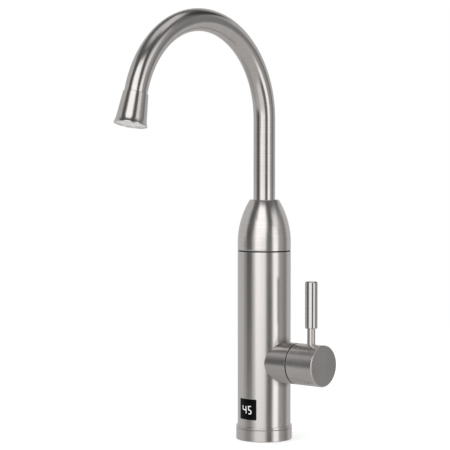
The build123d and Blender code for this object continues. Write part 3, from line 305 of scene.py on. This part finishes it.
def digit_light():
    """The pale digits, which glow slightly"""
    dark, light, glow = (0.84, 0.86, 0.86), (0.93, 0.94, 0.93), 0.2
    mat, tree, shader = tree_of("lit_digits")
    speckle = noise_node(tree, object_place(tree), scale=1800, detail=2)
    face = mix_colours(tree, map_range(tree, speckle, 0, 1), dark, light)
    tree.links.new(face, shader.inputs["Base Color"])
    tree.links.new(map_range(tree, speckle, 0.4, 0.55), shader.inputs["Roughness"])
    shader.inputs["Emission Color"].default_value = (1, 1, 1, 1)
    shader.inputs["Emission Strength"].default_value = glow
    return mat


# One steel throughout; its brightness differs per part only as painted light and shade, lighter on the cap
# and darker on the stub
steel_body = satin_steel("satin_steel_body", Z, (0.17, 0.22), "Z", 0.35, 0.97, gap=0.0002, corner=0.011)
steel_cap = satin_steel("satin_steel_cap", Z, (0.16, 0.22), "Z", 0.3, 1.18)
steel_ring = satin_steel("satin_steel_ring", Z, (0.17, 0.22), "Z", 0.35, gap=0.00005, edge=0.0001)
steel_lever = satin_steel("satin_steel_lever", Z, (0.08, 0.13), "Z", 0.3)
steel_stub = satin_steel("satin_steel_stub", X, (0.2, 0.26), "X", 0.35, 0.9, gap=0.003)
steel_knob = satin_steel("satin_steel_knob", X, (0.24, 0.3), "X", 0.35, 1.02, edge=0.0011)
steel_tube = satin_steel("satin_steel_tube", "gooseneck", (0.14, 0.19), painted_brightness=1.07)
steel_nozzle = satin_steel("satin_steel_nozzle", tuple(OUTLET_WAY), (0.14, 0.19), painted_brightness=1.08, lip=0.0299)
machined = plain(
    "machined_steel", (0.6, 0.6, 0.6), (0.52, 0.52, 0.51), (0.25, 0.4), 900, 0.08, 0.00005, metallic=1.0
)
brass = plain(
    "cast_brass", (0.74, 0.56, 0.29), (0.64, 0.47, 0.23), (0.28, 0.45), 700, 0.1, 0.00006, metallic=1.0
)
gap_black = plain(
    "gap_black", (0.004, 0.004, 0.004), (0.007, 0.007, 0.007), (0.6, 0.8), 900, 0.1, 0.00005,
    mirror=0.08, wear=0.0
)
rubber = plain("black_rubber", (0.03, 0.03, 0.03), (0.045, 0.045, 0.045), (0.6, 0.8), 1200, 0.15, 0.00006)
dark_plastic = plain(
    "black_plastic", (0.035, 0.035, 0.037), (0.05, 0.05, 0.052), (0.4, 0.55), 900, 0.1, 0.00005
)
pale_plastic = plain("white_plastic", (0.9, 0.9, 0.885), (0.86, 0.86, 0.845), (0.35, 0.5), 900, 0.08, 0.00005)
ceramic = plain("ceramic", (0.88, 0.86, 0.8), (0.84, 0.82, 0.76), (0.08, 0.15), 600, 0.03, 0.00002)
board = plain(
    "circuit_board", (0.02, 0.16, 0.07), (0.03, 0.22, 0.1), (0.3, 0.45), 500, 0.1, 0.00004, coat=0.3
)
yellow = plain("transformer_yellow", (0.72, 0.52, 0.06), (0.62, 0.44, 0.05), (0.35, 0.5), 500, 0.1, 0.00005)
window_black = plain(
    "window_black", (0.002, 0.002, 0.0022), (0.0035, 0.0035, 0.0038), (0.1, 0.16), 500, 0.02, 0.00002,
    mirror=0.12, wear=0.0
)
lit_digits = digit_light()

DRESS = {
    steel_body: ("body_shell",),
    steel_ring: ("base_ring", "trim_ring"),
    steel_stub: ("valve_sleeve",),
    steel_knob: ("knob",),
    steel_lever: ("lever_stem", "lever_grip"),
    steel_cap: ("spout_cap",),
    steel_tube: ("spout_tube",),
    steel_nozzle: ("aerator_housing",),
    machined: (
        "fixing_screw", "knob_grub_screw", "flange_screws", "turbine_axle", "heater_tank", "heating_element",
        "inlet_strainer",
    ),
    brass: (
        "base_block", "valve_manifold", "valve_barrel", "cartridge_nut", "swivel_post", "spout_connector",
        "element_nuts", "outlet_probe",
    ),
    rubber: ("base_gasket", "port_seal", "spindle_seal", "outlet_seal", "post_seal", "aerator_seal"),
    dark_plastic: (
        "cable_gland", "gland_nut", "display_holder", "board_rail",
        "thermal_cutout", "hall_sensor", "relay", "terminal_block", "digit_module", "capacitors",
        "sensor_housing", "sensor_cap",
    ),
    gap_black: ("knob_slip_ring", "swivel_slip_ring"),
    pale_plastic: ("aerator_insert", "swirl_vane", "flow_turbine", "cartridge_body", "spindle", "tank_lid"),
    ceramic: ("fixed_disc", "moving_disc"),
    board: ("display_board", "control_board"),
    yellow: ("transformer",),
    window_black: ("display_window",),
}
for mat, names in DRESS.items():
    for name in names:
        mesh = nodes[name].data
        mesh.materials.clear()
        mesh.materials.append(mat)
undressed = set(nodes) - {name for names in DRESS.values() for name in names}
if undressed:
    raise RuntimeError(f"no material for {sorted(undressed)}")


# Pieces
SHARP_ANGLE = 0.6


def mesh_object(name, bm):
    """The drawn mesh, as an object of the scene"""
    mesh = bpy.data.meshes.new(name)
    bm.to_mesh(mesh)
    bm.free()
    obj = bpy.data.objects.new(name, mesh)
    bpy.context.scene.collection.objects.link(obj)
    return obj


def piece(name, bm, mat, body):
    """A smooth piece of the scene's own, on a body, with the finish it is given"""
    bmesh.ops.recalc_face_normals(bm, faces=bm.faces)
    obj = mesh_object(name, bm)
    obj.data.materials.append(mat)
    obj.data.shade_smooth()
    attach(obj, body)
    return obj


def turned(name, profile, foot, way, sides, mat, body, node):
    """A closed outline of (radius, run) in mm, turned round the axis that starts at foot and goes along way.

    The axis lies in the object's middle plane, so X is square to it.
    """
    way = Vector(way).normalized()
    across = Vector(X)
    other = way.cross(across)
    bm = bmesh.new()
    rings = []
    for i in range(sides):
        angle = 2 * math.pi * i / sides
        out = across * math.cos(angle) + other * math.sin(angle)
        places = [Vector(foot) + (way * run + out * radius) * MM for radius, run in profile]
        rings.append([bm.verts.new(place) for place in places])
    for i, ring in enumerate(rings):
        after = rings[(i + 1) % sides]
        for j in range(len(profile)):
            k = (j + 1) % len(profile)
            bm.faces.new((ring[j], ring[k], after[k], after[j]))
    obj = piece(name, bm, mat, body)
    obj.data.set_sharp_from_angle(angle=SHARP_ANGLE)
    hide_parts(node)
    return obj


def rounded(corner, before, after, size):
    """The points that round a corner of an outline, from the side before it to the side after it"""
    steps = 4
    corner, before, after = Vector(corner), Vector(before), Vector(after)
    start = corner + (before - corner).normalized() * size
    end = corner + (after - corner).normalized() * size
    points = []
    for i in range(steps + 1):
        t = i / steps
        points.append(tuple(start * (1 - t) ** 2 + corner * (2 * t * (1 - t)) + end * t**2))
    return points


def bored(obj, foot, way, radius, length):
    """A round hole cut into obj, for good"""
    sides = 32
    bm = bmesh.new()
    turn = Vector(way).to_track_quat("Z", "Y")
    ends = []
    for run in (0, length):
        ends.append([])
        for i in range(sides):
            angle = 2 * math.pi * i / sides
            rim = Vector((radius * math.cos(angle), radius * math.sin(angle), run))
            ends[-1].append(bm.verts.new(Vector(foot) + turn @ rim))
    bm.faces.new(ends[0])
    bm.faces.new(reversed(ends[1]))
    for i in range(sides):
        j = (i + 1) % sides
        bm.faces.new((ends[0][i], ends[1][i], ends[1][j], ends[0][j]))
    bmesh.ops.recalc_face_normals(bm, faces=bm.faces)
    drill = mesh_object("drill", bm)
    cut = obj.modifiers.new("hole", "BOOLEAN")
    cut.operation = "DIFFERENCE"
    cut.solver = "EXACT"
    cut.object = drill
    bpy.context.view_layer.update()
    graph = bpy.context.evaluated_depsgraph_get()
    made = bpy.data.meshes.new_from_object(obj.evaluated_get(graph))
    obj.modifiers.clear()
    obj.data = made
    bpy.data.objects.remove(drill)
    obj.data.set_sharp_from_angle(angle=SHARP_ANGLE)


# Sizes in millimetres. The body and the cap's skirt have the same radius, and so do the tube's sockets in the
# cap and in the nozzle.
BODY_R = 27.0
TUBE_R, TUBE_BORE_R, SOCKET_R = 11, 10, 11.05
CAP_FOOT, CAP_SHOULDER, CAP_TOP, CAP_TOP_R, CAP_WALL = 192.1, 199.5, 243.0, 14.7, 2
SCREW_Z, SCREW_HOLE_R = 204.0, 2.5


def cap_radius(z):
    """The ogive: one arc, tangent to the straight skirt"""
    height, inset = CAP_TOP - CAP_SHOULDER, BODY_R - CAP_TOP_R
    arc_r = (inset**2 + height**2) / (2 * inset)
    return BODY_R - arc_r + math.sqrt(arc_r**2 - max(z - CAP_SHOULDER, 0) ** 2)


def smooth_cap():
    """The cap: a straight skirt, one arc, a flat top round the tube, and a hollow that follows the arc"""
    sides, steps, skirt, below_top = 120, 30, 3, 1
    foot_round, top_round = 0.25, 0.5
    top_wall, ceiling_r = 3, 13.3
    hollow_shares = (0.94, 0.15)
    drill_from, drill_length = 16.5, 20
    ceiling = CAP_TOP - top_wall
    outline = rounded((BODY_R, CAP_FOOT), (BODY_R - CAP_WALL, CAP_FOOT), (BODY_R, CAP_SHOULDER), foot_round)
    outline += [(BODY_R, CAP_FOOT + skirt)]
    heights = [CAP_SHOULDER + (CAP_TOP - below_top - CAP_SHOULDER) * i / steps for i in range(steps + 1)]
    outline += [(cap_radius(z), z) for z in heights]
    outline += rounded((CAP_TOP_R, CAP_TOP), outline[-1], (SOCKET_R, CAP_TOP), top_round)
    outline += [(SOCKET_R, CAP_TOP), (SOCKET_R, ceiling), (ceiling_r, ceiling)]
    inside = [CAP_FOOT + share * (ceiling - CAP_FOOT) for share in hollow_shares]
    outline += [(cap_radius(z) - CAP_WALL, z) for z in inside]
    outline += [(cap_radius(inside[1]) - CAP_WALL, CAP_FOOT)]
    cap = turned("smooth_cap", outline, (0, 0, 0), Z, sides, steel_cap, "spout", "spout_cap")
    bored(cap, (0, drill_from * MM, SCREW_Z * MM), Y, SCREW_HOLE_R * MM, drill_length * MM)


def smooth_housing():
    """The nozzle: a straight flare that curls outwards just above the mouth"""
    length, lip, top_r, mouth_r = 30.5, 0.4, 12.0, 16.1
    sides, steps, curl, curl_from = 96, 36, 1.05, 0.8
    top_round, top_lean, mouth_round = 0.3, 0.05, 0.55
    mouth_bore_r, plate_r, plate_depth = 14.8, 12.45, 3.4
    channel_r, channel_from, channel_to = 10.0, 8.0, 17.0
    outline = rounded((top_r, 0), (SOCKET_R, 0), (top_r + top_lean, 1), top_round)
    for i in range(1, steps):
        share = i / steps
        flare = share * (mouth_r - curl - top_r)
        flare += curl * max(0, (share - curl_from) / (1 - curl_from)) ** 2
        outline.append((top_r + flare, share * (length - lip)))
    outline += rounded((mouth_r, length), outline[-1], (mouth_bore_r, length), mouth_round)
    outline += [(mouth_bore_r, length), (mouth_bore_r, length - plate_depth)]
    outline += [(plate_r, length - plate_depth), (plate_r, channel_to)]
    outline += [(channel_r, channel_to), (channel_r, channel_from)]
    outline += [(SOCKET_R, channel_from), (SOCKET_R, 0)]
    turned(
        "smooth_housing", outline, SPOUT_END, OUTLET_WAY, sides, steel_nozzle, "spout",
        "aerator_housing"
    )


def smooth_tube():
    """The gooseneck: a straight rise, one bend and a short nose"""
    rise_heights, bend_degrees, nose = (229, 260, 292, 323), 166.2, 8
    steps, sides = 112, 56
    rows = [(Vector((0, 0, z * MM)), Vector(Y)) for z in rise_heights]
    for i in range(steps + 1):
        turn = math.radians(bend_degrees) * i / steps
        out = Vector((0, math.cos(turn), math.sin(turn)))
        rows.append((Vector((0, BEND_Y, BEND_Z)) + out * BEND_R, out))
    rows.append((rows[-1][0] + OUTLET_WAY * nose * MM, rows[-1][1]))
    bm = bmesh.new()
    skins = []
    for radius in (TUBE_R * MM, TUBE_BORE_R * MM):
        skins.append([])
        for middle, out in rows:
            ring = []
            for i in range(sides):
                angle = 2 * math.pi * i / sides
                way = out * math.cos(angle) + Vector((math.sin(angle), 0, 0))
                ring.append(bm.verts.new(middle + way * radius))
            skins[-1].append(ring)
        for low, high in zip(skins[-1], skins[-1][1:]):
            for i in range(sides):
                j = (i + 1) % sides
                bm.faces.new((low[i], high[i], high[j], low[j]))
    for end in (0, -1):
        for i in range(sides):
            j = (i + 1) % sides
            bm.faces.new((skins[0][end][i], skins[0][end][j], skins[1][end][j], skins[1][end][i]))
    tube = piece("smooth_tube", bm, steel_tube, "spout")
    tube.data.set_sharp_from_angle(angle=SHARP_ANGLE)
    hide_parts("spout_tube")


smooth_cap()
smooth_housing()
smooth_tube()

# The digits' strokes lie just inside the body's round, on the pane. Their points are (length round the body,
# height) in millimetres.
DIGIT_R = (BODY_R - 0.04) * MM
STROKE_HALF = 0.49 * MM


def joined(points):
    """The strokes from each point to the next"""
    return list(zip(points, points[1:]))


FOUR = joined([(-5.8, 35.6), (-6.0, 33.2), (-5.4, 32.2), (-4.2, 31.8), (-1.9, 31.7)])
FOUR += joined([(-1.5, 35.2), (-1.1, 28.5)])
FIVE = joined([(4.4, 35.75), (1.65, 35.5), (1.95, 32.1), (3.6, 31.85), (4.6, 31.2), (4.95, 29.8)])
FIVE += joined([(4.95, 29.8), (4.5, 28.5), (3.4, 28.0), (2.3, 28.2)])


def digit(name, strokes):
    """One lit digit: strokes with round ends, which follow the pane's curve"""
    steps, end_steps, tip_share = 12, 6, 0.02
    bm = bmesh.new()

    def point(a, z):
        return bm.verts.new((DIGIT_R * math.sin(a / DIGIT_R), -DIGIT_R * math.cos(a / DIGIT_R), z))

    for (a0, z0), (a1, z1) in strokes:
        start, end = (a0 * MM, z0 * MM), (a1 * MM, z1 * MM)
        along = Vector((end[0] - start[0], end[1] - start[1]))
        length = along.length
        way = along / length
        side = Vector((-way.y, way.x))
        rows = []
        for i in range(-end_steps, steps + end_steps + 1):
            if i < 0:
                angle = math.pi / 2 * (end_steps + i) / end_steps
                run, width = -STROKE_HALF * math.cos(angle), STROKE_HALF * math.sin(angle)
            elif i > steps:
                angle = math.pi / 2 * (end_steps - (i - steps)) / end_steps
                run, width = length + STROKE_HALF * math.cos(angle), STROKE_HALF * math.sin(angle)
            else:
                run, width = length * i / steps, STROKE_HALF
            middle = Vector(start) + way * run
            width = max(width, STROKE_HALF * tip_share)
            rows.append([point(*(middle + side * width)), point(*middle), point(*(middle - side * width))])
        for low, high in zip(rows, rows[1:]):
            for j in range(2):
                bm.faces.new((low[j], low[j + 1], high[j + 1], high[j]))
    piece(name, bm, lit_digits, "body")


digit("digit_four", FOUR)
digit("digit_five", FIVE)

# Floor, light and camera
FLOOR_RADII = (0.0001, 0.03, 0.05, 0.08, 0.14, 0.3, 0.5, 0.8, 1.2)
FLOOR_Z = -0.0002
FLOOR_TONE, FLOOR_GLOW = 0.6, 0.54


def floor_paint():
    """Pale and matt, with a glow that only the camera, mirrors and glass see"""
    mat = bpy.data.materials.new("floor")
    mat.use_nodes = True
    tree = mat.node_tree
    tree.nodes.clear()
    out = tree.nodes.new("ShaderNodeOutputMaterial")
    diffuse = tree.nodes.new("ShaderNodeBsdfDiffuse")
    diffuse.inputs[0].default_value = (FLOOR_TONE, FLOOR_TONE, FLOOR_TONE, 1)
    glow = tree.nodes.new("ShaderNodeEmission")
    path = tree.nodes.new("ShaderNodeLightPath")
    through = math_node(tree, "MAXIMUM", path.outputs["Is Glossy Ray"], path.outputs["Is Transmission Ray"])
    seen = math_node(tree, "MAXIMUM", path.outputs["Is Camera Ray"], through)
    tree.links.new(math_node(tree, "MULTIPLY", seen, FLOOR_GLOW), glow.inputs["Strength"])
    both = tree.nodes.new("ShaderNodeAddShader")
    tree.links.new(diffuse.outputs[0], both.inputs[0])
    tree.links.new(glow.outputs[0], both.inputs[1])
    tree.links.new(both.outputs[0], out.inputs[0])
    return mat


def floor():
    """A flat round of pale floor. The steel mirrors the studio in its place."""
    sides = 96
    bm = bmesh.new()
    rings = []
    for radius in FLOOR_RADII:
        rings.append([])
        for i in range(sides):
            angle = 2 * math.pi * i / sides
            rings[-1].append(bm.verts.new((radius * math.cos(angle), radius * math.sin(angle), 0)))
    for low, high in zip(rings, rings[1:]):
        for i in range(sides):
            j = (i + 1) % sides
            bm.faces.new((low[i], high[i], high[j], low[j]))
    obj = mesh_object("floor", bm)
    obj.data.materials.append(floor_paint())
    obj.location.z = FLOOR_Z
    obj.visible_glossy = False


floor()

# The studio round the object: soft cards and dark flags on grey walls. Angles are in degrees, round from the
# way to the camera to its right, and up from level. A wall is (how far up, light level), and a card is
# (from, to, lowest, highest, softness, light level). The backdrop is (from, lowest, highest, softness, light
# level), and goes on behind the object. The even light is what surfaces that aren't mirrors get.
WALLS = ((-90, 0.46), (-30, 0.47), (-14, 0.51), (36, 0.52), (46, 0.13), (64, 0.13), (78, 0.56), (90, 0.6))
CARDS = (
    (98, 143, 29, 60, 7, 0.05),
    (55, 184, 61, 95, 6, 0.66),
    (-130, -76, -62, -14, 8, 0.38),
    (56, 100, -18, 26, 8, 0.35),
    (-41, 3, -40, 0, 5, 0.76),
    (-42, -12, -7.5, 50, 3, 1.2),
    (-16, 5, -7.5, 50, 3, 1.04),
    (-42, 8, 8, 52, 8, 1.27),
    (-100, -55, -9, 1, 5, 0.3),
    (-83, -55, -9, 2, 5, 0.08),
    (-86, -55, 0, 16, 4, 0.08),
    (-85, -51, 12, 60, 6, 0.1),
    (9, 33.5, -32, 16, 6, 0.135),
    (15, 42, 13, 62, 6, 0.095),
    (37, 61, -29, 20, 4, 1.22),
    (43, 70, 17, 33, 6, 0.86),
    (50, 61, -2, 12, 3, 1.06),
    (80, 103, 24, 60, 6, 0.18),
    (88, 112, -16, 27, 7, 0.225),
)
BACKDROP = (157, -10, 15, 7, 0.71)
EVEN_LIGHT = 0.62
CAMERA_PLACE = Vector((1.12328, -1.36428, 0.30205))
CAMERA_WAY = Vector((-0.652089, 0.756624, -0.047957))
# The camera's sensor and lens, in millimetres, and the nearest and farthest that it sees, in metres
SENSOR, LENS = 36, 139.665
NEAREST, FARTHEST = 0.01, 50


def step(tree, value, edge, soft):
    """0 below the edge, 1 above it"""
    node = tree.nodes.new("ShaderNodeMapRange")
    node.interpolation_type = "SMOOTHSTEP"
    tree.links.new(value, node.inputs["Value"])
    node.inputs["From Min"].default_value = edge - soft
    node.inputs["From Max"].default_value = edge + soft
    return node.outputs[0]


def between(tree, value, low, high, soft):
    """Two masks, of what is above low and of what is below high"""
    return [step(tree, value, low, soft), math_node(tree, "SUBTRACT", 1.0, step(tree, value, high, soft))]


def laid_over(tree, light, masks, level):
    """The light, with the level in its place where all the masks are 1"""
    mask = masks[0]
    for other in masks[1:]:
        mask = math_node(tree, "MULTIPLY", mask, other)
    node = tree.nodes.new("ShaderNodeMix")
    tree.links.new(mask, node.inputs[MIX_FACTOR])
    tree.links.new(light, node.inputs[MIX_NUMBERS[0]])
    node.inputs[MIX_NUMBERS[1]].default_value = level
    return node.outputs[MIX_NUMBER_OUT]


def walls(tree, rise):
    """The walls' light levels, as a ramp over the degrees up from level"""
    half_turn = 180
    ramp = tree.nodes.new("ShaderNodeValToRGB")
    elements = ramp.color_ramp.elements
    while len(elements) > 1:
        elements.remove(elements[-1])
    for i, (degrees, level) in enumerate(WALLS):
        place = degrees / half_turn + 0.5
        element = elements[0] if i == 0 else elements.new(place)
        element.position = place
        element.color = (level, level, level, 1)
    place = math_node(tree, "ADD", math_node(tree, "DIVIDE", rise, half_turn), 0.5)
    tree.links.new(place, ramp.inputs[0])
    return ramp.outputs[0]


def studio_light(tree):
    """What the steel mirrors in each direction: the walls with the cards and the backdrop laid over them"""
    facing = tree.nodes.new("ShaderNodeMapping")
    facing.vector_type = "POINT"
    facing.inputs["Rotation"].default_value[2] = math.atan2(CAMERA_WAY.x, CAMERA_WAY.y)
    tree.links.new(tree.nodes.new("ShaderNodeTexCoord").outputs["Generated"], facing.inputs[0])
    split = tree.nodes.new("ShaderNodeSeparateXYZ")
    tree.links.new(facing.outputs[0], split.inputs[0])
    # After the turn the camera stands at -Y, and its right is +X
    right, back, up = split.outputs
    angle = math_node(tree, "ARCTAN2", right, math_node(tree, "MULTIPLY", back, -1.0))
    angle = math_node(tree, "DEGREES", angle)
    rise = math_node(tree, "DEGREES", math_node(tree, "ARCSINE", up))
    light = walls(tree, rise)
    for start, end, low, top, soft, level in CARDS:
        masks = between(tree, angle, start, end, soft) + between(tree, rise, low, top, soft)
        light = laid_over(tree, light, masks, level)
    start, low, top, soft, level = BACKDROP
    behind = step(tree, math_node(tree, "ABSOLUTE", angle), start, soft)
    return laid_over(tree, light, [behind, *between(tree, rise, low, top, soft)], level)


def background(tree, strength):
    """A background node, white unless its colour is linked"""
    node = tree.nodes.new("ShaderNodeBackground")
    node.inputs["Color"].default_value = (1, 1, 1, 1)
    node.inputs["Strength"].default_value = strength
    return node


def mix_shaders(tree, factor, a, b):
    node = tree.nodes.new("ShaderNodeMixShader")
    for socket, value in zip(node.inputs, (factor, a, b)):
        tree.links.new(value, socket)
    return node.outputs[0]


def studio():
    """The world: the studio's light in mirrors, white where the camera sees it, and even light elsewhere"""
    world = bpy.data.worlds.new("studio")
    bpy.context.scene.world = world
    world.use_nodes = True
    tree = world.node_tree
    tree.nodes.clear()
    out = tree.nodes.new("ShaderNodeOutputWorld")
    cards = background(tree, 1.0)
    tree.links.new(studio_light(tree), cards.inputs["Color"])
    even = background(tree, EVEN_LIGHT)
    white = background(tree, 1.0)
    path = tree.nodes.new("ShaderNodeLightPath")
    mirrored = mix_shaders(tree, path.outputs["Is Glossy Ray"], even.outputs[0], cards.outputs[0])
    clear = math_node(tree, "MAXIMUM", path.outputs["Is Camera Ray"], path.outputs["Is Transmission Ray"])
    tree.links.new(mix_shaders(tree, clear, mirrored, white.outputs[0]), out.inputs[0])


studio()

# The lamps' slightly warm white, and the place near the object's middle that most of them aim at
LAMP_TINT = (1, 0.985, 0.97)
MIDDLE = (0, -0.05, 0.2)


def lamp(name, place, aim, size, power):
    """A soft rectangular lamp that shows neither to the camera nor in the steel"""
    data = bpy.data.lights.new(name, "AREA")
    data.shape = "RECTANGLE"
    data.size, data.size_y = size
    data.energy = power
    data.color = LAMP_TINT
    obj = bpy.data.objects.new(name, data)
    obj.location = place
    obj.rotation_mode = "QUATERNION"
    obj.rotation_quaternion = (Vector(aim) - Vector(place)).to_track_quat("-Z", "Y")
    obj.visible_glossy = False
    obj.visible_camera = False
    bpy.context.scene.collection.objects.link(obj)


lamp("key", (-0.2, -1.6, 1.3), MIDDLE, size=(0.9, 1.2), power=12)
lamp("fill", (1.6, -0.6, 0.9), MIDDLE, size=(0.7, 1.2), power=6)
lamp("top", (0.1, 0.1, 1.9), MIDDLE, size=(1.2, 1.2), power=7)
lamp("bounce", (0, -0.25, 0.01), (0, -0.2, 0.35), size=(0.3, 0.3), power=0.2)

camera_data = bpy.data.cameras.new("camera")
camera_data.sensor_width = SENSOR
camera_data.lens = LENS
camera_data.clip_start, camera_data.clip_end = NEAREST, FARTHEST
camera = bpy.data.objects.new("camera", camera_data)
camera.location = CAMERA_PLACE
camera.rotation_mode = "QUATERNION"
camera.rotation_quaternion = CAMERA_WAY.to_track_quat("-Z", "Y")
bpy.context.scene.collection.objects.link(camera)
bpy.context.scene.camera = camera
bpy.context.scene.view_settings.view_transform = "Standard"
